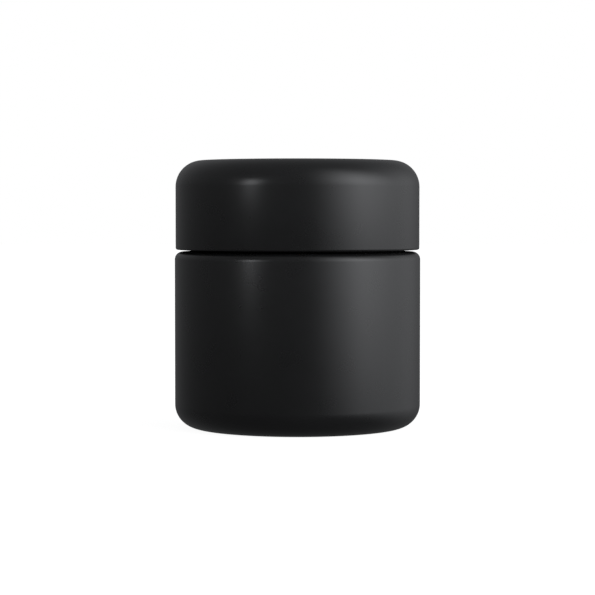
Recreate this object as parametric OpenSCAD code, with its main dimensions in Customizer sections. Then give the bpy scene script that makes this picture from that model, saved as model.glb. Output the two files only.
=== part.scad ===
// Double-wall cream jar with a screw lid, closed.
// The jar stands on z = 0 and its axis is the Z axis. A black outer shell carries a white
// cup, whose threaded neck takes the lid. The lid is a black shell over a white threaded
// insert, which also holds the sealing disc and its foam liner.

/* [Body] */
// Outer diameter of the body
body_d = 56; // [50:0.5:64]
// Height of the body from its standing ring to its shoulder
body_h = 40.15; // [36:0.05:50]
// Radius of the round edge at the foot
foot_round = 5.4; // [3:0.1:6]
// Radius of the round edge at the shoulder
shoulder_round = 1.75; // [0.8:0.05:2]
// Thickness of the outer shell's floor
shell_floor = 4; // [3:0.1:5]
// Width of the flat ring that the jar stands on
ring_w = 4.4; // [3:0.1:6]
// Depth of the recessed panel inside the standing ring
ring_h = 0.8; // [0.4:0.1:1.2]

/* [Lid] */
// How far the lid's side stands in from the body's side
lid_inset = 0.2; // [0:0.05:0.4]
// Height of the lid
lid_h = 20.3; // [19:0.1:24]
// Radius of the round edge at the lid's top
lid_round = 6; // [4:0.1:6]
// Shadow gap between the lid and the shoulder
seam_gap = 0.45; // [0.4:0.05:0.8]
// Wall thickness of the lid's shell
lid_wall = 1.6; // [1.2:0.1:1.8]
// Thickness of the lid's top
lid_top = 1.8; // [1.4:0.1:2]

/* [Cup and neck] */
// Radial step from the body's side in to the collar under the lid
collar_step = 3.7; // [3.6:0.1:4.5]
// Height of the collar above the shoulder
collar_h = 1.3; // [1:0.1:1.5]
// Wall thickness of the cup below its neck
cup_wall = 1.6; // [1.2:0.1:1.8]
// Wall thickness of the neck
neck_wall = 2; // [1.6:0.1:2.2]
// Radius of the round corner at the bottom of the cup
cup_round = 8; // [5:0.5:10]
// Thickness of the foam liner
liner_t = 2; // [1:0.1:2.5]
// Depth of the sealing disc's plug inside the mouth
plug_h = 3; // [2:0.5:4]

/* [Thread] */
// Number of thread starts
thread_starts = 3; // [2:1:4]
// Distance that the lid rises in one turn
thread_lead = 12; // [10:0.5:13]
// Angle that each thread ridge covers
ridge_span = 150; // [100:5:150]
// Height of a ridge above the wall it stands on
ridge_h = 1.3; // [1:0.05:1.3]

/* [Hidden] */
$fn = 128;

// Clearances
snap_play = 0.05;    // between pieces that snap or drop into each other
turn_play = 0.25;    // radial, between threads and the walls they pass
axial_play = 0.4;    // above and below moving ridges
disc_play = 0.2;     // lets the disc turn freely above its bead
lip_play = 0.3;      // between the collar and the insert's lower end

// Body radii
body_r = body_d / 2;
ring_r = body_r - foot_round - ring_w;
collar_r = body_r - collar_step;
shell_bore_r = collar_r - 1.3;
shell_draft = 0.6;
shell_corner = 6;

// Neck and cup radii
neck_r = collar_r - 1.7;
mouth_r = neck_r - neck_wall;
cup_draft = 0.9;
rim_chamfer = 0.4;
spigot_r = shell_bore_r - snap_play;
ridge_crest_r = neck_r + ridge_h;
flange_r = ridge_crest_r;
plug_r = mouth_r - 0.15;
plug_wall = 1;
plug_lead = 0.8;
post_r = 8;            // inner radius of the ring that carries the cup's floor

// Lid radii
lid_r = body_r - lid_inset;
lid_bore_r = lid_r - lid_wall;
insert_bore_r = ridge_crest_r + turn_play;
insert_wall = 1.2;
insert_r = insert_bore_r + insert_wall;
disc_r = insert_bore_r - 0.85;
liner_r = disc_r - 1.3;
bead_r = disc_r - 0.3;
insert_round = 3;
boss_r = 8;
rib_count = 12;
rib_w = 1.2;

// Heights in the body
collar_z = body_h + collar_h;
flange_t = 1.2;
flange_z = collar_z + flange_t;
cup_floor = 1.8;
cup_foot_z = 6.2;
cup_floor_z = cup_foot_z + cup_floor;
corner_step = 15;      // angle between the straights that make the corners inside the body
seat_z = collar_z - 5;
snap_z = collar_z - 2.2;
snap_w = 0.6;
snap_h = 0.2;

// Heights in the lid, from its top down to the neck's rim
lid_z = body_h + seam_gap;
lid_top_z = lid_z + lid_h;
lid_ceiling_z = lid_top_z - lid_top;
boss_h = 0.9;
insert_top_z = lid_ceiling_z - boss_h;
insert_ceiling_z = insert_top_z - 1.2;
liner_z = insert_ceiling_z - snap_play - liner_t;
disc_t = 1;
neck_z = liner_z - disc_t;
bead_h = 0.6;
bead_z = neck_z - disc_play - bead_h;
lid_bead_h = 0.4;
lid_bead_z = lid_z + 0.35;
insert_z = collar_z + lip_play;
insert_flange_t = 1.2;
rib_z = insert_z + insert_flange_t / 2;

// Thread
thread_pitch = thread_lead / thread_starts;
ridge_root_w = 1.8;
ridge_crest_w = 0.9;
ridge_sink = 0.4;      // the ridge's root lies this deep in its wall
ridge_fade = 25;       // angle over which a ridge fades at each end
ridge_step = 5;
thread_phase = 2;      // turns the ridges' sections off the X axis
insert_ridge_z = flange_z + axial_play + ridge_root_w / 2;
neck_ridge_z = insert_ridge_z + thread_pitch / 2;

// Outline of a disc's end, round deep, whose outer corner is an arc about centre_z
module rounded_end(r, z, round, centre_z) {
    translate([0, z]) square([r - round, round]);
    translate([r - round, centre_z]) circle(round);
}

// Outline of a solid disc from the axis to r, with round outer corners
module disc_outline(r, z_low, z_high, low_round, high_round) {
    translate([0, z_low + low_round]) square([r, z_high - z_low - low_round - high_round]);
    if (low_round > 0) rounded_end(r, z_low, low_round, z_low + low_round);
    if (high_round > 0) rounded_end(r, z_high - high_round, high_round, z_high - high_round);
}

// Outline of a cup's inside or outside: narrower at its bottom, with a round corner of short straights
module cup_outline(top_r, bottom_r, z_low, z_high, corner) {
    bend = [for (a = [0:corner_step:90])
        [bottom_r - corner + corner * sin(a), z_low + corner - corner * cos(a)]];
    polygon(concat([[0, z_low]], bend, [[top_r, z_high], [0, z_high]]));
}

// Outline of a flat ring
module ring_outline(inner_r, outer_r, z_low, z_high) {
    translate([inner_r, z_low]) square([outer_r - inner_r, z_high - z_low]);
}

// How much of a ridge's height stands at an angle along it, from 0 at its ends to 1
function ridge_rise(a) = let (t = min(1, a / ridge_fade, (ridge_span - a) / ridge_fade))
    t * t * (3 - 2 * t);

// The four corners of a ridge at angle a along it, in order around its section
function ridge_section(a, wall_r, side) =
    let (root_r = wall_r - side * ridge_sink)
    let (crest_r = wall_r + side * (ridge_rise(a) * (ridge_h + ridge_sink / 2) - ridge_sink / 2))
    let (z = a * thread_lead / 360)
    let (half = [-ridge_root_w, -ridge_crest_w, ridge_crest_w, ridge_root_w] / 2 * side)
    let (r = [root_r, crest_r, crest_r, root_r])
    [for (i = [0:3]) [r[i] * cos(a), r[i] * sin(a), z + half[i]]];

// One helical thread ridge on a round wall: side is 1 on its outside and -1 in its bore
module thread_ridge(wall_r, side) {
    steps = ridge_span / ridge_step;
    corners = [for (s = [0:steps]) each ridge_section(s * ridge_step, wall_r, side)];
    walls = [for (s = [0:steps - 1], i = [0:3])
        let (a = 4 * s + i, b = 4 * s + (i + 1) % 4)
        each [[a, b, b + 4], [a, b + 4, a + 4]]];
    last = 4 * steps;
    caps = [[3, 2, 1], [3, 1, 0], [last, last + 1, last + 2], [last, last + 2, last + 3]];
    polyhedron(points = corners, faces = concat(walls, caps), convexity = 4);
}

// All starts of one thread
module thread(wall_r, side, z) {
    for (i = [0:thread_starts - 1])
        rotate([0, 0, thread_phase + 360 / thread_starts * i]) translate([0, 0, z])
            thread_ridge(wall_r, side);
}

// Black outer body: heavy wall, round foot, standing ring, shoulder and locating collar
module outer_shell() {
    color("#1c1c1d") rotate_extrude() difference() {
        union() {
            disc_outline(body_r, 0, body_h, foot_round, shoulder_round);
            ring_outline(0, collar_r, body_h / 2, collar_z);
        }
        ring_outline(0, ring_r, 0, ring_h);
        difference() {
            cup_outline(shell_bore_r, shell_bore_r - shell_draft, shell_floor, seat_z, shell_corner);
            ring_outline(post_r, post_r + 1.5, shell_floor, cup_foot_z);
        }
        ring_outline(0, shell_bore_r, seat_z, collar_z);
        ring_outline(0, shell_bore_r + snap_h + 0.1, snap_z - snap_w, snap_z + snap_w);
    }
}

// Outline of the neck, chamfered at its rim
module neck_outline() {
    polygon([
        [0, collar_z], [neck_r, collar_z], [neck_r, neck_z - rim_chamfer],
        [neck_r - rim_chamfer, neck_z], [0, neck_z]]);
}

// White cup that holds the cream, with its seat flange, snap bead and threaded neck
module inner_cup() {
    color("#f2f2ee") difference() {
        union() {
            rotate_extrude() {
                cup_outline(mouth_r + cup_wall, mouth_r - cup_draft + cup_wall, cup_foot_z, neck_z,
                            cup_round + cup_wall);
                ring_outline(0, spigot_r, seat_z + snap_w, collar_z);
                ring_outline(0, shell_bore_r + snap_h, snap_z - snap_w / 2, snap_z + snap_w / 2);
                ring_outline(0, flange_r, collar_z, flange_z);
                neck_outline();
            }
            thread(neck_r, 1, neck_ridge_z);
        }
        rotate_extrude() {
            cup_outline(mouth_r, mouth_r - cup_draft, cup_floor_z, neck_z, cup_round);
            ring_outline(0, mouth_r, neck_z, neck_z + 1);
        }
    }
}

// White disc that closes the mouth: a flat plate with a plug skirt under it
module sealing_disc() {
    skirt_z = neck_z - plug_h;
    plate_mid_z = neck_z + disc_t / 2;
    color("#f7f7f4") rotate_extrude() {
        ring_outline(0, disc_r, neck_z, liner_z);
        polygon([
            [plug_r - plug_wall, plate_mid_z], [plug_r - plug_wall, skirt_z],
            [plug_r - plug_lead / 2, skirt_z], [plug_r, skirt_z + plug_lead], [plug_r, plate_mid_z]]);
    }
}

// Foam pad on top of the sealing disc
module lid_liner() {
    color("#e4e4df") translate([0, 0, liner_z]) cylinder(h = liner_t, r = liner_r);
}

// White threaded insert of the lid, with its snap flange, drive ribs and disc-retaining bead
module lid_insert() {
    color("#f2f2ee") {
        difference() {
            union() {
                rotate_extrude() {
                    disc_outline(insert_r, insert_z, insert_top_z, 0, insert_round);
                    ring_outline(0, lid_bore_r - snap_play, insert_z, insert_z + insert_flange_t);
                    ring_outline(boss_r, boss_r + 2, insert_ceiling_z, lid_ceiling_z);
                }
                intersection() {
                    for (i = [0:rib_count - 1]) rotate([0, 0, 360 / rib_count * (i + 0.5)])
                        translate([insert_r - insert_wall / 2, -rib_w / 2, rib_z])
                            cube([insert_wall + 2, rib_w, neck_z - rib_z]);
                    cylinder(h = lid_top_z, r = lid_bore_r - 2 * snap_play);
                }
            }
            rotate_extrude() difference() {
                disc_outline(insert_bore_r, insert_z - 1, insert_ceiling_z, 0, insert_round - insert_wall);
                ring_outline(bead_r, insert_bore_r + 1, bead_z, bead_z + bead_h);
            }
        }
        thread(insert_bore_r, -1, insert_ridge_z);
    }
}

// Black lid shell with its round top edge and the bead that holds the insert
module lid_shell() {
    color("#1c1c1d") rotate_extrude() difference() {
        disc_outline(lid_r, lid_z, lid_top_z, 0.25, lid_round);
        difference() {
            disc_outline(lid_bore_r, lid_z - 1, lid_ceiling_z, 0, lid_round - lid_wall);
            ring_outline(lid_bore_r - 0.3, lid_r, lid_bead_z, lid_bead_z + lid_bead_h);
        }
    }
}

outer_shell();
inner_cup();
sealing_disc();
lid_liner();
lid_insert();
lid_shell();
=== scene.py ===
"""Looks of a closed double-wall cream jar with a screw lid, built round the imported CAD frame.

Every piece is turned about the Z axis from an outline: a chain of corners from the axis, round the
section and back to the axis. Heights that the nodes' boxes give come from them, and the step sizes
inside a piece are the named values below.
"""

import math

import bpy
import numpy as np
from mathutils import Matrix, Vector


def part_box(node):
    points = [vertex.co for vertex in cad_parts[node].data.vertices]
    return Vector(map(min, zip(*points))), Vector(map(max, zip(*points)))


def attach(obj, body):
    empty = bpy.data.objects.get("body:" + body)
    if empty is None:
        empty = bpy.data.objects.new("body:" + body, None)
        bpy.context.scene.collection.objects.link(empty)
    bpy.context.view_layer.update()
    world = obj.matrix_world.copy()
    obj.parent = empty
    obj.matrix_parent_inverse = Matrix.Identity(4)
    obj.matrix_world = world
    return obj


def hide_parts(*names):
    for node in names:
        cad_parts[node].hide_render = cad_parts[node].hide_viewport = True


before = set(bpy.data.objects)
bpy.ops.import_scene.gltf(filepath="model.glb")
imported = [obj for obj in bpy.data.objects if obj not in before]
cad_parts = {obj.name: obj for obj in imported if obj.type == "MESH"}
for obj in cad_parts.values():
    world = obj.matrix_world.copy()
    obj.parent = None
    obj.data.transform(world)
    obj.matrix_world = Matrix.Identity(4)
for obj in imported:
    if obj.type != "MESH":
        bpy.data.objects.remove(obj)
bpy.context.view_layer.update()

MM = 0.001
FULL_TURN = 2 * math.pi

# Mesh fineness
TURNS = 192                  # quads round a plain piece
THREAD_TURNS = 288           # quads round a threaded piece
ARC_STEP = math.radians(5)   # largest angle between points on a rounded corner
ARC_STEPS_MIN = 3
STRAIGHT = 2.5 * MM          # longest quad along a straight
FINE = 0.12 * MM             # the same where thread ridges stand on the wall
SAME_R = 0.01 * MM           # rows nearer than this to a wall's radius lie on it
FACING_OUT = 1e-6            # a normal that leans out by more than this faces out

# Roundings of moulded edges
EDGE = 0.2 * MM
FINE_EDGE = 0.1 * MM
FILLET = 0.3 * MM

# Outer shell
FOOT_ROUND = 5.4 * MM
SHOULDER_ROUND = 1.75 * MM
RING_R = 18.2 * MM
RING_H = 0.8 * MM
COLLAR_R = 24.3 * MM
COLLAR_H = 1.3 * MM
SHELL_BORE_R = 23.0 * MM
SHELL_DRAFT = 0.6 * MM
SHELL_FLOOR = 4.0 * MM
SHELL_CORNER = 6.0 * MM
SEAT_DEPTH = 5.0 * MM
SNAP_DEPTH = 2.2 * MM
SNAP_W = 0.6 * MM
SNAP_H = 0.2 * MM
SNAP_PLAY = 0.05 * MM
POST_R = 8.0 * MM
POST_W = 1.5 * MM
BODY_CROWN = math.radians(5)  # how far the wall's shading leans out at its ends

# Inner cup
NECK_R = 22.6 * MM
MOUTH_R = 20.6 * MM
CUP_WALL = 1.6 * MM
CUP_FLOOR = 1.8 * MM
CUP_DRAFT = 0.9 * MM
CUP_ROUND = 8.0 * MM
CUP_FLANGE_T = 1.2 * MM
RIM_ROUND = 0.6 * MM

# Sealing disc
PLUG_R = 20.45 * MM
PLUG_WALL = 1.0 * MM
PLUG_LEAD = 0.8 * MM
DISC_T = 1.0 * MM

# Lid insert
INSERT_R = 25.35 * MM
INSERT_BORE_R = 24.15 * MM
INSERT_ROUND = 3.0 * MM
INSERT_TOP_T = 1.2 * MM
INSERT_FLANGE_T = 1.2 * MM
BEAD_R = 23.0 * MM
BEAD_H = 0.6 * MM
DISC_PLAY = 0.2 * MM
BOSS_R = 8.0 * MM
BOSS_W = 2.0 * MM
BOSS_H = 0.9 * MM
RIB_COUNT = 12
RIB_W = 1.2 * MM
RIB_H = 0.72 * MM
RIB_STEP = FULL_TURN / RIB_COUNT
RIB_HALF = RIB_W / 2 / INSERT_R    # half a rib's width, as an angle
RIB_FLANK = FINE_EDGE / INSERT_R   # half the angle over which its flank rises
RIB_MARGIN = 1.3                   # even points nearer to a rib than this share of its reach are left out

# Lid shell
LID_WALL = 1.6 * MM
LID_TOP = 1.8 * MM
LID_ROUND = 6.0 * MM
LID_EDGE = 0.45 * MM
LID_BEAD_H = 0.4 * MM
LID_BEAD_RISE = 0.35 * MM
LID_BEAD_DEPTH = 0.3 * MM
LID_CROWN = math.radians(4)

# Marks that moulding leaves at the middle of a piece
GATE_DIMPLE_R = 1.7 * MM
GATE_DIMPLE_H = 0.25 * MM
GATE_NUB_R = 0.6 * MM
GATE_NUB_H = 0.15 * MM

# Thread
THREAD_STARTS = 3
THREAD_LEAD = 12 * MM
THREAD_PHASE = math.radians(2)
RIDGE_SPAN = math.radians(150)
RIDGE_FADE = math.radians(25)
RIDGE_H = 1.3 * MM
RIDGE_ROOT_W = 1.8 * MM
RIDGE_CREST_W = 0.9 * MM
NECK_RIDGE_RISE = 3.3 * MM    # from the cup's seat flange up to the middle of a ridge's low end
INSERT_RIDGE_RISE = 1.3 * MM  # the same for the insert's ridges


# ---------------------------------------------------------------- outlines and turned meshes

def corner_rows(before, here, after, rounding):
    """(point, outward normal) pairs of one corner of a chain that has the solid on its left."""
    into = (here - before).normalized()
    out = (after - here).normalized()
    turn = math.atan2(into.x * out.y - into.y * out.x, into.dot(out))
    normal = Vector((into.y, -into.x))
    side = math.copysign(1, turn)
    centre = here - into * (rounding * math.tan(abs(turn) / 2)) - normal * (side * rounding)
    steps = max(ARC_STEPS_MIN, math.ceil(abs(turn) / ARC_STEP))
    rows = []
    for k in range(steps + 1):
        angle = turn * k / steps
        n = Vector((normal.x * math.cos(angle) - normal.y * math.sin(angle),
                    normal.x * math.sin(angle) + normal.y * math.cos(angle)))
        rows.append((centre + n * (side * rounding), n))
    return rows


def outline(corners):
    """(point, outward normal) pairs along a chain of (r, z, rounding) corners. A fourth value is the
    longest step along the straight that leads to that corner."""
    places = [Vector(c[:2]) for c in corners]
    first = (places[1] - places[0]).normalized()
    last = (places[-1] - places[-2]).normalized()
    rows = [(places[0], Vector((first.y, -first.x)))]
    for i in range(1, len(corners)):
        if i < len(corners) - 1:
            found = corner_rows(places[i - 1], places[i], places[i + 1], corners[i][2])
        else:
            found = [(places[-1], Vector((last.y, -last.x)))]
        longest = corners[i][3] if len(corners[i]) > 3 else STRAIGHT
        start, end = rows[-1], found[0]
        steps = max(1, math.ceil((end[0] - start[0]).length / longest))
        for k in range(1, steps):
            rows.append((start[0].lerp(end[0], k / steps), start[1].lerp(end[1], k / steps)))
        rows += found
    return rows


def crowned(rows, low_z, high_z, crown):
    """The rows with the outer wall's normals leaning down at low_z and up at high_z by the crown
    angle, as on a wall that is moulded slightly barrelled, and blended into the roundings beyond."""
    leaned = []
    middle, half = (low_z + high_z) / 2, (high_z - low_z) / 2
    for point, normal in rows:
        tilt = math.atan2(normal.y, normal.x)
        outside = normal.x > FACING_OUT and point.y > 0
        if outside and point.x > COLLAR_R + FILLET:
            lean = crown * max(-1.0, min(1.0, (point.y - middle) / half))
            tilt += lean * (1 - abs(tilt) / (math.pi / 2))
            normal = Vector((math.cos(tilt), math.sin(tilt)))
        leaned.append((point, normal))
    return leaned


def even_angles(count):
    return np.arange(count) * FULL_TURN / count


def lathe(name, rows, angles, shape=None):
    """A closed surface: the outline's rows turned about Z, with a pole at each end. shape(r, z, angle)
    is how far a point stands out from the outline, for arrays."""
    count = len(angles)
    r = np.array([row[0].x for row in rows[1:-1]])[:, None]
    z = np.array([row[0].y for row in rows[1:-1]])[:, None]
    turned_r = r + (shape(r, z, angles) if shape else 0 * angles)
    rings = np.stack([turned_r * np.cos(angles), turned_r * np.sin(angles), z + 0 * angles], axis=-1)
    low_pole, high_pole = (0, 0, rows[0][0].y), (0, 0, rows[-1][0].y)
    verts = np.vstack([rings.reshape(-1, 3), [low_pole, high_pole]])
    here = np.arange(count)
    ahead = (here + 1) % count
    ring_starts = np.arange(len(r) - 1)[:, None] * count
    quads = np.stack([ring_starts + here, ring_starts + ahead,
                      ring_starts + count + ahead, ring_starts + count + here], axis=-1)
    low_index, high_index = len(verts) - 2, len(verts) - 1
    last_ring = (len(r) - 1) * count
    low_fan = [(low_index, int(b), int(a)) for a, b in zip(here, ahead)]
    high_fan = [(int(a), int(b), high_index) for a, b in zip(last_ring + here, last_ring + ahead)]
    mesh = bpy.data.meshes.new(name)
    mesh.from_pydata(verts.tolist(), [], quads.reshape(-1, 4).tolist() + low_fan + high_fan)
    mesh.update()
    mesh.shade_smooth()
    piece = bpy.data.objects.new(name, mesh)
    bpy.context.scene.collection.objects.link(piece)
    return piece


def shade_by_outline(piece, rows, angles):
    """Gives the turned surface the outline's own normals."""
    nr = np.array([row[1].x for row in rows[1:-1]])[:, None]
    nz = np.array([row[1].y for row in rows[1:-1]])[:, None]
    rings = np.stack([nr * np.cos(angles), nr * np.sin(angles), nz + 0 * angles], axis=-1)
    poles = [(0, 0, rows[0][1].y), (0, 0, rows[-1][1].y)]
    normals = np.vstack([rings.reshape(-1, 3), poles])
    piece.data.normals_split_custom_set_from_vertices(normals.tolist())


def shade_by_area(piece):
    """Lets the large faces set the normals, so that flat stretches look flat."""
    weighted = piece.modifiers.new("Weighted", "WEIGHTED_NORMAL")
    weighted.mode = "FACE_AREA"
    weighted.keep_sharp = True


def smooth_step(t):
    t = np.clip(t, 0, 1)
    return t * t * (3 - 2 * t)


def ridge_height(z, angles, low_z):
    """How far the thread's ridges stand off their wall."""
    height = 0 * z * angles
    for start in range(THREAD_STARTS):
        along = (angles - THREAD_PHASE - FULL_TURN * start / THREAD_STARTS) % FULL_TURN
        off = np.abs(z - low_z - THREAD_LEAD * along / FULL_TURN)
        flank = (RIDGE_ROOT_W / 2 - off) / ((RIDGE_ROOT_W - RIDGE_CREST_W) / 2)
        ends = smooth_step(np.minimum(along, RIDGE_SPAN - along) / RIDGE_FADE)
        height = np.maximum(height, RIDGE_H * smooth_step(flank) * ends)
    return height


def on_wall(r, wall_r):
    """1 for the rows of a wall at that radius and 0 for the others."""
    return (np.abs(r - wall_r) < SAME_R).astype(float)


# ---------------------------------------------------------------- materials

# The range that most of a noise texture's values lie in
MIDDLE_LOW = 0.3
MIDDLE_HIGH = 0.7


def new_material(name):
    material = bpy.data.materials.new(name)
    material.use_nodes = True
    tree = material.node_tree
    shader = tree.nodes["Principled BSDF"]
    place = tree.nodes.new("ShaderNodeTexCoord").outputs["Object"]
    return material, tree, shader, place


def noise(tree, place, size, detail=3.0, roughness=0.5):
    """Noise whose lumps are about size metres across."""
    node = tree.nodes.new("ShaderNodeTexNoise")
    node.inputs["Scale"].default_value = 1 / size
    node.inputs["Detail"].default_value = detail
    node.inputs["Roughness"].default_value = roughness
    tree.links.new(place, node.inputs["Vector"])
    return node.outputs["Fac"]


def spread(tree, value, low, high):
    """The value's middle range spread from low to high."""
    node = tree.nodes.new("ShaderNodeMapRange")
    node.inputs["From Min"].default_value = MIDDLE_LOW
    node.inputs["From Max"].default_value = MIDDLE_HIGH
    node.inputs["To Min"].default_value = low
    node.inputs["To Max"].default_value = high
    tree.links.new(value, node.inputs["Value"])
    return node.outputs["Result"]


def tint(tree, value, low_colour, high_colour):
    node = tree.nodes.new("ShaderNodeMix")
    node.data_type = "RGBA"
    tree.links.new(spread(tree, value, 0, 1), node.inputs["Factor"])
    node.inputs["A"].default_value = (*low_colour, 1)
    node.inputs["B"].default_value = (*high_colour, 1)
    return node.outputs["Result"]


def bump(tree, shader, height, distance, before=None):
    """Adds relief of that depth in metres on top of an earlier bump."""
    node = tree.nodes.new("ShaderNodeBump")
    node.inputs["Strength"].default_value = 1
    node.inputs["Distance"].default_value = distance
    tree.links.new(height, node.inputs["Height"])
    if before:
        tree.links.new(before, node.inputs["Normal"])
    tree.links.new(node.outputs["Normal"], shader.inputs["Normal"])
    return node.outputs["Normal"]


def satin_black(name):
    """Smooth moulded black with a satin sheen and a micro-grain finer than the eye resolves."""
    material, tree, shader, place = new_material(name)
    cloud = noise(tree, place, 6 * MM)
    grain = noise(tree, place, 0.12 * MM, detail=2.0)
    tree.links.new(tint(tree, cloud, (0.0100, 0.0101, 0.0104), (0.0118, 0.0119, 0.0123)),
                   shader.inputs["Base Color"])
    tree.links.new(spread(tree, cloud, 0.270, 0.290), shader.inputs["Roughness"])
    shader.inputs["IOR"].default_value = 1.5
    bump(tree, shader, grain, 0.0006 * MM)
    return material


def matt_black_painted_shade(name):
    """The same plastic with a fine spark texture from the mould, rougher; its colour darker and its sheen
    weaker than the satin black's as painted shade in the seam between lid and body and in the hollows out
    of sight.
    """
    material, tree, shader, place = new_material(name)
    cloud = noise(tree, place, 4 * MM)
    grain = noise(tree, place, 0.2 * MM, detail=3.0)
    # Painted shade: a darker black than the satin one, so the seam between lid and body and the collar
    # seen through it look shaded
    tree.links.new(tint(tree, cloud, (0.0055, 0.0055, 0.0056), (0.0070, 0.0070, 0.0072)),
                   shader.inputs["Base Color"])
    tree.links.new(spread(tree, cloud, 0.82, 0.90), shader.inputs["Roughness"])
    shader.inputs["IOR"].default_value = 1.5
    shader.inputs["Specular IOR Level"].default_value = 0.12
    bump(tree, shader, grain, 0.004 * MM)
    return material


def white_moulding(name):
    """Semi-gloss white polypropylene, slightly translucent, with faint flow marks."""
    material, tree, shader, place = new_material(name)
    cloud = noise(tree, place, 5 * MM)
    flow = noise(tree, place, 1.5 * MM, detail=4.0)
    tree.links.new(tint(tree, cloud, (0.83, 0.83, 0.81), (0.87, 0.87, 0.85)), shader.inputs["Base Color"])
    tree.links.new(spread(tree, flow, 0.28, 0.36), shader.inputs["Roughness"])
    shader.inputs["IOR"].default_value = 1.49
    shader.inputs["Subsurface Weight"].default_value = 0.25
    shader.inputs["Subsurface Radius"].default_value = (1.0, 0.9, 0.75)
    shader.inputs["Subsurface Scale"].default_value = 1.0 * MM
    bump(tree, shader, flow, 0.004 * MM)
    return material


def soft_disc(name):
    """Matt, waxy polyethylene with a fine texture from the mould."""
    material, tree, shader, place = new_material(name)
    cloud = noise(tree, place, 4 * MM)
    grain = noise(tree, place, 0.25 * MM, detail=3.0)
    tree.links.new(tint(tree, cloud, (0.85, 0.85, 0.83), (0.90, 0.90, 0.88)), shader.inputs["Base Color"])
    tree.links.new(spread(tree, grain, 0.46, 0.60), shader.inputs["Roughness"])
    shader.inputs["IOR"].default_value = 1.5
    shader.inputs["Subsurface Weight"].default_value = 0.4
    shader.inputs["Subsurface Radius"].default_value = (1.0, 0.95, 0.85)
    shader.inputs["Subsurface Scale"].default_value = 1.2 * MM
    bump(tree, shader, grain, 0.006 * MM)
    return material


def liner_foam(name):
    """Fine closed-cell foam: small domed cells with darker joints."""
    material, tree, shader, place = new_material(name)
    cells = tree.nodes.new("ShaderNodeTexVoronoi")
    cells.inputs["Scale"].default_value = 1 / (0.35 * MM)
    tree.links.new(place, cells.inputs["Vector"])
    distance = cells.outputs["Distance"]
    tree.links.new(tint(tree, distance, (0.80, 0.80, 0.77), (0.70, 0.70, 0.67)),
                   shader.inputs["Base Color"])
    tree.links.new(spread(tree, noise(tree, place, 1 * MM), 0.75, 0.9), shader.inputs["Roughness"])
    shader.inputs["IOR"].default_value = 1.45
    inverted = spread(tree, distance, 1, 0)
    bump(tree, shader, inverted, 0.03 * MM)
    return material


# ---------------------------------------------------------------- pieces

def finish_piece(piece, material, body, node):
    """The piece takes the material, rides on the CAD body and stands for the CAD node, whose part it
    hides.
    """
    piece.data.materials.append(material)
    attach(piece, body)
    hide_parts(node)


def finish_inside(piece, material, is_inside):
    """Gives the second material to the faces that pass the test."""
    piece.data.materials.append(material)
    for face in piece.data.polygons:
        if is_inside(face):
            face.material_index = len(piece.data.materials) - 1


def make_outer_shell(material, painted_shade_material):
    low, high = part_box("outer_shell")
    body_r, base_z, collar_z = high.x, low.z, high.z
    shoulder_z = collar_z - COLLAR_H
    seat_z = collar_z - SEAT_DEPTH
    groove_z = collar_z - SNAP_DEPTH
    panel_z = base_z + RING_H
    dimple_z = panel_z + GATE_DIMPLE_H
    floor_z = base_z + SHELL_FLOOR
    post_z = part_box("inner_cup")[0].z
    groove_r = SHELL_BORE_R + SNAP_H + 2 * SNAP_PLAY
    corners = [
        (0, dimple_z - GATE_NUB_H),
        (GATE_NUB_R, dimple_z - GATE_NUB_H, FINE_EDGE / 2),
        (GATE_NUB_R, dimple_z, FINE_EDGE / 2),
        (GATE_DIMPLE_R, dimple_z, FINE_EDGE),
        (GATE_DIMPLE_R, panel_z, FINE_EDGE),
        (RING_R, panel_z, FILLET),
        (RING_R, base_z, EDGE),
        (body_r, base_z, FOOT_ROUND),
        (body_r, shoulder_z, SHOULDER_ROUND),
        (COLLAR_R, shoulder_z, FILLET),
        (COLLAR_R, collar_z, EDGE),
        (SHELL_BORE_R, collar_z, EDGE),
        (SHELL_BORE_R, groove_z + SNAP_W, FINE_EDGE),
        (groove_r, groove_z + SNAP_W, FINE_EDGE),
        (groove_r, groove_z - SNAP_W, FINE_EDGE),
        (SHELL_BORE_R, groove_z - SNAP_W, FINE_EDGE),
        (SHELL_BORE_R, seat_z, FINE_EDGE),
        (SHELL_BORE_R - SHELL_DRAFT, floor_z, SHELL_CORNER),
        (POST_R + POST_W, floor_z, FILLET),
        (POST_R + POST_W, post_z, EDGE),
        (POST_R, post_z, EDGE),
        (POST_R, floor_z, FILLET),
        (0, floor_z)]
    wall_low, wall_high = base_z + FOOT_ROUND, shoulder_z - SHOULDER_ROUND
    rows = crowned(outline(corners), wall_low, wall_high, BODY_CROWN)
    angles = even_angles(TURNS)
    piece = lathe("outer_shell_body", rows, angles)
    shade_by_outline(piece, rows, angles)
    finish_piece(piece, material, "jar", "outer_shell")

    # Faces inside the shoulder (collar, bore, recess, floor) get the painted-shade black
    def is_inside(face):
        return face.center.xy.length < body_r - SHOULDER_ROUND and face.center.z > floor_z - EDGE

    finish_inside(piece, painted_shade_material, is_inside)


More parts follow.
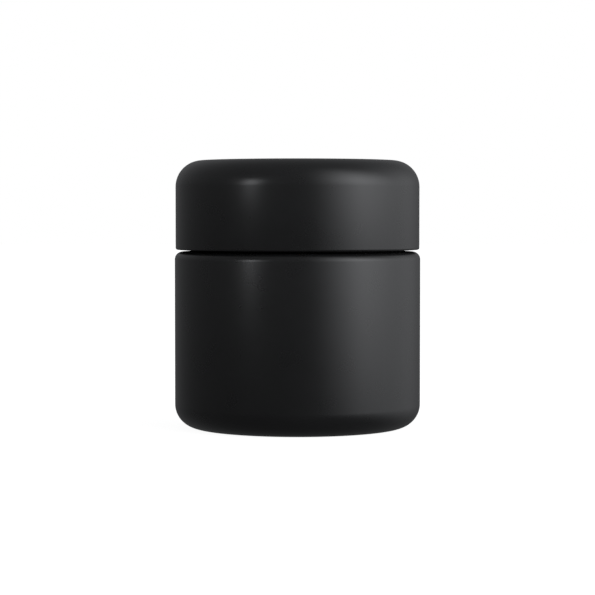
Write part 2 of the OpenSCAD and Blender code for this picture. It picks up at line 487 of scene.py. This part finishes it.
def make_inner_cup(material):
    low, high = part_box("inner_cup")
    foot_z, rim_z = low.z, high.z
    collar_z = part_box("outer_shell")[1].z
    flange_r, flange_z = high.x, collar_z + CUP_FLANGE_T
    seat_z = collar_z - SEAT_DEPTH + SNAP_W
    bead_z = collar_z - SNAP_DEPTH
    floor_z = foot_z + CUP_FLOOR
    spigot_r = SHELL_BORE_R - SNAP_PLAY
    bead_r = SHELL_BORE_R + SNAP_H
    draft_slope = CUP_DRAFT / (rim_z - floor_z - CUP_ROUND)
    wall_r = MOUTH_R + CUP_WALL
    corners = [
        (0, foot_z),
        (wall_r - draft_slope * (rim_z - foot_z), foot_z, CUP_ROUND + CUP_WALL),
        (wall_r - draft_slope * (rim_z - seat_z), seat_z, FILLET),
        (spigot_r, seat_z, EDGE),
        (spigot_r, bead_z - SNAP_W / 2, FINE_EDGE),
        (bead_r, bead_z - SNAP_W / 2, FINE_EDGE),
        (bead_r, bead_z + SNAP_W / 2, FINE_EDGE),
        (spigot_r, bead_z + SNAP_W / 2, FINE_EDGE),
        (spigot_r, collar_z, FINE_EDGE),
        (flange_r, collar_z, EDGE),
        (flange_r, flange_z, EDGE),
        (NECK_R, flange_z, FILLET),
        (NECK_R, rim_z, RIM_ROUND, FINE),
        (MOUTH_R, rim_z, RIM_ROUND),
        (MOUTH_R - draft_slope * (rim_z - floor_z), floor_z, CUP_ROUND),
        (0, floor_z)]
    low_ridge_z = flange_z + NECK_RIDGE_RISE

    def ridges(r, z, angles):
        return on_wall(r, NECK_R) * ridge_height(z, angles, low_ridge_z)

    piece = lathe("inner_cup_body", outline(corners), even_angles(THREAD_TURNS), ridges)
    shade_by_area(piece)
    finish_piece(piece, material, "jar", "inner_cup")


def make_sealing_disc(material):
    low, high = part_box("sealing_disc")
    skirt_z, top_z = low.z, high.z
    under_z = top_z - DISC_T
    corners = [
        (0, under_z - GATE_NUB_H),
        (GATE_NUB_R, under_z - GATE_NUB_H, FINE_EDGE / 2),
        (GATE_NUB_R, under_z, FINE_EDGE / 2),
        (PLUG_R - PLUG_WALL, under_z, FILLET),
        (PLUG_R - PLUG_WALL, skirt_z, EDGE),
        (PLUG_R - PLUG_LEAD / 2, skirt_z, FINE_EDGE),
        (PLUG_R, skirt_z + PLUG_LEAD, FINE_EDGE),
        (PLUG_R, under_z, EDGE),
        (high.x, under_z, EDGE),
        (high.x, top_z, EDGE),
        (0, top_z)]
    piece = lathe("sealing_disc_body", outline(corners), even_angles(TURNS))
    shade_by_area(piece)
    finish_piece(piece, material, "seal", "sealing_disc")


def make_lid_liner(material):
    low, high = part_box("lid_liner")
    corners = [(0, low.z), (high.x, low.z, FILLET), (high.x, high.z, FILLET), (0, high.z)]
    piece = lathe("lid_liner_foam", outline(corners), even_angles(TURNS))
    shade_by_area(piece)
    finish_piece(piece, material, "seal", "lid_liner")


def rib_offsets():
    """Angles from a rib's middle at which its outline has a point."""
    return np.array([-RIB_HALF - RIB_FLANK, -RIB_HALF, -RIB_HALF + RIB_FLANK, 0,
                     RIB_HALF - RIB_FLANK, RIB_HALF, RIB_HALF + RIB_FLANK])


def insert_angles():
    """Even angles, with each rib's own points in place of those that fall near it."""
    middles = (np.arange(RIB_COUNT) + 0.5) * RIB_STEP
    offsets = rib_offsets()
    even = even_angles(THREAD_TURNS)
    to_rib = np.abs((even + RIB_STEP) % RIB_STEP - RIB_STEP / 2)
    clear = even[to_rib > RIB_MARGIN * offsets[-1]]
    return np.sort(np.concatenate([clear, (middles[:, None] + offsets).ravel()]))


def rib_height(z, angles, low_z, high_z):
    """How far the insert's drive ribs stand off its wall."""
    to_rib = np.abs(angles % RIB_STEP - RIB_STEP / 2)
    across = smooth_step((RIB_HALF + RIB_FLANK - to_rib) / (2 * RIB_FLANK))
    along = smooth_step((high_z - z) / FILLET) * (z > low_z)
    return RIB_H * across * along


def make_lid_insert(material):
    low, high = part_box("lid_insert")
    foot_z, boss_z, flange_r = low.z, high.z, high.x
    flange_z = foot_z + INSERT_FLANGE_T
    top_z = boss_z - BOSS_H
    ceiling_z = top_z - INSERT_TOP_T
    rim_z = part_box("inner_cup")[1].z
    bead_z = rim_z - DISC_PLAY - BEAD_H
    bore_round = INSERT_ROUND - (INSERT_R - INSERT_BORE_R)
    corners = [
        (0, ceiling_z),
        (INSERT_BORE_R, ceiling_z, bore_round),
        (INSERT_BORE_R, bead_z + BEAD_H, FINE_EDGE),
        (BEAD_R, bead_z + BEAD_H, EDGE),
        (BEAD_R, bead_z, EDGE),
        (INSERT_BORE_R, bead_z, FINE_EDGE),
        (INSERT_BORE_R, foot_z, EDGE, FINE),
        (flange_r, foot_z, EDGE),
        (flange_r, flange_z, EDGE),
        (INSERT_R, flange_z, FINE_EDGE),
        (INSERT_R, rim_z + FILLET, FINE_EDGE, FILLET),
        (INSERT_R, top_z, INSERT_ROUND),
        (BOSS_R + BOSS_W, top_z, FILLET),
        (BOSS_R + BOSS_W, boss_z, EDGE),
        (BOSS_R, boss_z, EDGE),
        (BOSS_R, top_z, FILLET),
        (0, top_z)]
    low_ridge_z = cup_flange_top() + INSERT_RIDGE_RISE

    def ridges_and_ribs(r, z, angles):
        ridges = on_wall(r, INSERT_BORE_R) * ridge_height(z, angles, low_ridge_z)
        return on_wall(r, INSERT_R) * rib_height(z, angles, flange_z, rim_z) - ridges

    piece = lathe("lid_insert_body", outline(corners), insert_angles(), ridges_and_ribs)
    shade_by_area(piece)
    finish_piece(piece, material, "lid", "lid_insert")


def cup_flange_top():
    """Height of the top of the cup's seat flange."""
    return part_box("outer_shell")[1].z + CUP_FLANGE_T


def make_lid_shell(material, painted_shade_material):
    low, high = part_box("lid_shell")
    lid_r, lip_z, top_z = high.x, low.z, high.z
    ceiling_z = top_z - LID_TOP
    bore_r = lid_r - LID_WALL
    bead_r = bore_r - LID_BEAD_DEPTH
    bead_z = lip_z + LID_BEAD_RISE
    corners = [
        (0, ceiling_z),
        (bore_r, ceiling_z, LID_ROUND - LID_WALL),
        (bore_r, bead_z + LID_BEAD_H, FINE_EDGE),
        (bead_r, bead_z + LID_BEAD_H, FINE_EDGE),
        (bead_r, bead_z, FINE_EDGE),
        (bore_r, bead_z, FINE_EDGE),
        (bore_r, lip_z, FINE_EDGE),
        (lid_r, lip_z, LID_EDGE),
        (lid_r, top_z, LID_ROUND),
        (0, top_z)]
    rows = crowned(outline(corners), lip_z + LID_EDGE, top_z - LID_ROUND, LID_CROWN)
    angles = even_angles(TURNS)
    piece = lathe("lid_shell_cap", rows, angles)
    shade_by_outline(piece, rows, angles)
    finish_piece(piece, material, "lid", "lid_shell")

    # The lid's bore and ceiling get the painted-shade black
    def is_inside(face):
        below_round = face.center.z < top_z - LID_ROUND
        return face.center.xy.length < bore_r + FINE_EDGE and (below_round or face.normal.z < 0)

    finish_inside(piece, painted_shade_material, is_inside)


def make_pieces():
    # The inside material is painted shade: darker, duller black for the seam between lid and body and for
    # the hollows
    inside = matt_black_painted_shade("inside_painted_shade")
    make_outer_shell(satin_black("outer_shell_satin"), inside)
    make_inner_cup(white_moulding("inner_cup_white"))
    make_sealing_disc(soft_disc("sealing_disc_soft"))
    make_lid_liner(liner_foam("lid_liner_foam"))
    make_lid_insert(white_moulding("lid_insert_white"))
    make_lid_shell(satin_black("lid_shell_satin"), inside)


# ---------------------------------------------------------------- studio

# The studio's soft boxes. Each has its radiance, the azimuth and elevation of its middle, its half
# width and half height, and how wide its edges fade, all in degrees. Azimuth 0 is the camera's side
# and grows towards +X.
SOFT_BOXES = {
    "main": (3.5, 60, 25, 20, 25, 30),   # broad highlight on the right, strongest on the lid's round
    "side": (1.0, 100, 10, 30, 25, 30),  # carries it round to the right edge
    "strip": (5.0, -45, 20, 5, 10, 5),   # narrow streak on the left
}
ROOM_LIGHT = 0.20                        # even light from above the horizon
TABLE_LIGHT = 0.10                       # and from below it
HORIZON_BLEND = math.radians(20)
LIGHT_TINT = (0.975, 0.99, 1.02)

# Camera: its distance from the jar's axis, its height, the height it aims at, and its lens and sensor
# in millimetres
EYE_DISTANCE = 497.6 * MM
EYE_HEIGHT = 49.95 * MM
AIM_HEIGHT = 29.63 * MM
LENS = 131.77
SENSOR_W = 36
NEAREST = 0.01
FARTHEST = 20

# Floor: its radius, its rings and how they crowd towards the jar, the size of its faint clouds, and
# its glow and colour
FLOOR_R = 2.5
FLOOR_RINGS = 24
FLOOR_RING_POWER = 2
FLOOR_CLOUD = 0.2
FLOOR_GLOW = 0.94
FLOOR_COLOUR = 0.30
FLOOR_COLOUR_SPREAD = 0.02


def maths(tree, operation, *values):
    """A Math node's result. Values are sockets or numbers."""
    node = tree.nodes.new("ShaderNodeMath")
    node.operation = operation
    for i, value in enumerate(values):
        if isinstance(value, (int, float)):
            node.inputs[i].default_value = value
        else:
            tree.links.new(value, node.inputs[i])
    return node.outputs["Value"]


def fall_off(tree, distance, inside, outside):
    """1 up to inside and 0 from outside on, smooth in between."""
    node = tree.nodes.new("ShaderNodeMapRange")
    node.interpolation_type = "SMOOTHSTEP"
    node.inputs["From Min"].default_value = inside
    node.inputs["From Max"].default_value = outside
    node.inputs["To Min"].default_value = 1
    node.inputs["To Max"].default_value = 0
    tree.links.new(distance, node.inputs["Value"])
    return node.outputs["Result"]


def box_light(tree, azimuth, elevation, soft_box):
    """The radiance that one soft box adds in a direction."""
    radiance = soft_box[0]
    mid_az, mid_el, half_w, half_h, edge = (math.radians(v) for v in soft_box[1:])
    turned = maths(tree, "WRAP", maths(tree, "SUBTRACT", azimuth, mid_az), math.pi, -math.pi)
    aside = maths(tree, "ABSOLUTE", turned)
    above = maths(tree, "ABSOLUTE", maths(tree, "SUBTRACT", elevation, mid_el))
    across = fall_off(tree, aside, half_w - edge, half_w + edge)
    up = fall_off(tree, above, half_h - edge, half_h + edge)
    return maths(tree, "MULTIPLY", maths(tree, "MULTIPLY", across, up), radiance)


def make_studio_light():
    """A white room to the camera, and plain soft boxes round the object for all other rays."""
    world = bpy.data.worlds.new("studio")
    world.use_nodes = True
    bpy.context.scene.world = world
    tree = world.node_tree
    tree.nodes.clear()
    way = tree.nodes.new("ShaderNodeSeparateXYZ")
    tree.links.new(tree.nodes.new("ShaderNodeTexCoord").outputs["Generated"], way.inputs["Vector"])
    azimuth = maths(tree, "ARCTAN2", way.outputs["X"], maths(tree, "MULTIPLY", way.outputs["Y"], -1.0))
    elevation = maths(tree, "ARCSINE", way.outputs["Z"])
    low = fall_off(tree, elevation, -HORIZON_BLEND, HORIZON_BLEND)
    total = maths(tree, "MULTIPLY_ADD", low, TABLE_LIGHT - ROOM_LIGHT, ROOM_LIGHT)
    for soft_box in SOFT_BOXES.values():
        total = maths(tree, "ADD", total, box_light(tree, azimuth, elevation, soft_box))
    studio = tree.nodes.new("ShaderNodeBackground")
    studio.inputs["Color"].default_value = (*LIGHT_TINT, 1)
    tree.links.new(total, studio.inputs["Strength"])
    white = tree.nodes.new("ShaderNodeBackground")
    white.inputs["Color"].default_value = (1, 1, 1, 1)
    mix = tree.nodes.new("ShaderNodeMixShader")
    rays = tree.nodes.new("ShaderNodeLightPath")
    tree.links.new(rays.outputs["Is Camera Ray"], mix.inputs["Fac"])
    tree.links.new(studio.outputs["Background"], mix.inputs[1])
    tree.links.new(white.outputs["Background"], mix.inputs[2])
    output = tree.nodes.new("ShaderNodeOutputWorld")
    tree.links.new(mix.outputs["Shader"], output.inputs["Surface"])


def make_floor():
    """A wide pale disc. It glows, so that only the object's contact shadow shows on it, and it casts
    no light on the object, whose light from below is part of the studio's."""
    mesh = bpy.data.meshes.new("floor")
    rings = [FLOOR_R * (k / FLOOR_RINGS) ** FLOOR_RING_POWER for k in range(1, FLOOR_RINGS + 1)]
    angles = even_angles(TURNS)
    verts = [(0.0, 0.0, 0.0)] + [(r * math.cos(a), r * math.sin(a), 0.0) for r in rings for a in angles]
    faces = [(0, 1 + k, 1 + (k + 1) % TURNS) for k in range(TURNS)]
    for i in range(FLOOR_RINGS - 1):
        inner, outer = 1 + i * TURNS, 1 + (i + 1) * TURNS
        for k in range(TURNS):
            n = (k + 1) % TURNS
            faces.append((inner + k, outer + k, outer + n, inner + n))
    mesh.from_pydata(verts, [], faces)
    floor = bpy.data.objects.new("floor", mesh)
    bpy.context.scene.collection.objects.link(floor)
    material, tree, shader, place = new_material("pale_floor")
    cloud = noise(tree, place, FLOOR_CLOUD)
    low_colour, high_colour = (FLOOR_COLOUR,) * 3, (FLOOR_COLOUR + FLOOR_COLOUR_SPREAD,) * 3
    tree.links.new(tint(tree, cloud, low_colour, high_colour), shader.inputs["Base Color"])
    shader.inputs["Roughness"].default_value = 1
    shader.inputs["Specular IOR Level"].default_value = 0
    shader.inputs["Emission Color"].default_value = (1, 1, 1, 1)
    shader.inputs["Emission Strength"].default_value = FLOOR_GLOW
    mesh.materials.append(material)
    floor.visible_diffuse = False
    floor.visible_glossy = False
    floor.visible_transmission = False
    floor.visible_shadow = False


def make_camera():
    data = bpy.data.cameras.new("camera")
    data.lens = LENS
    data.sensor_width = SENSOR_W
    data.clip_start = NEAREST
    data.clip_end = FARTHEST
    camera = bpy.data.objects.new("camera", data)
    bpy.context.scene.collection.objects.link(camera)
    camera.location = (0, -EYE_DISTANCE, EYE_HEIGHT)
    aim = Vector((0, 0, AIM_HEIGHT)) - camera.location
    camera.rotation_euler = aim.to_track_quat("-Z", "Y").to_euler()
    bpy.context.scene.camera = camera


bpy.context.scene.view_settings.view_transform = "Standard"
make_camera()
make_studio_light()
make_floor()
make_pieces()
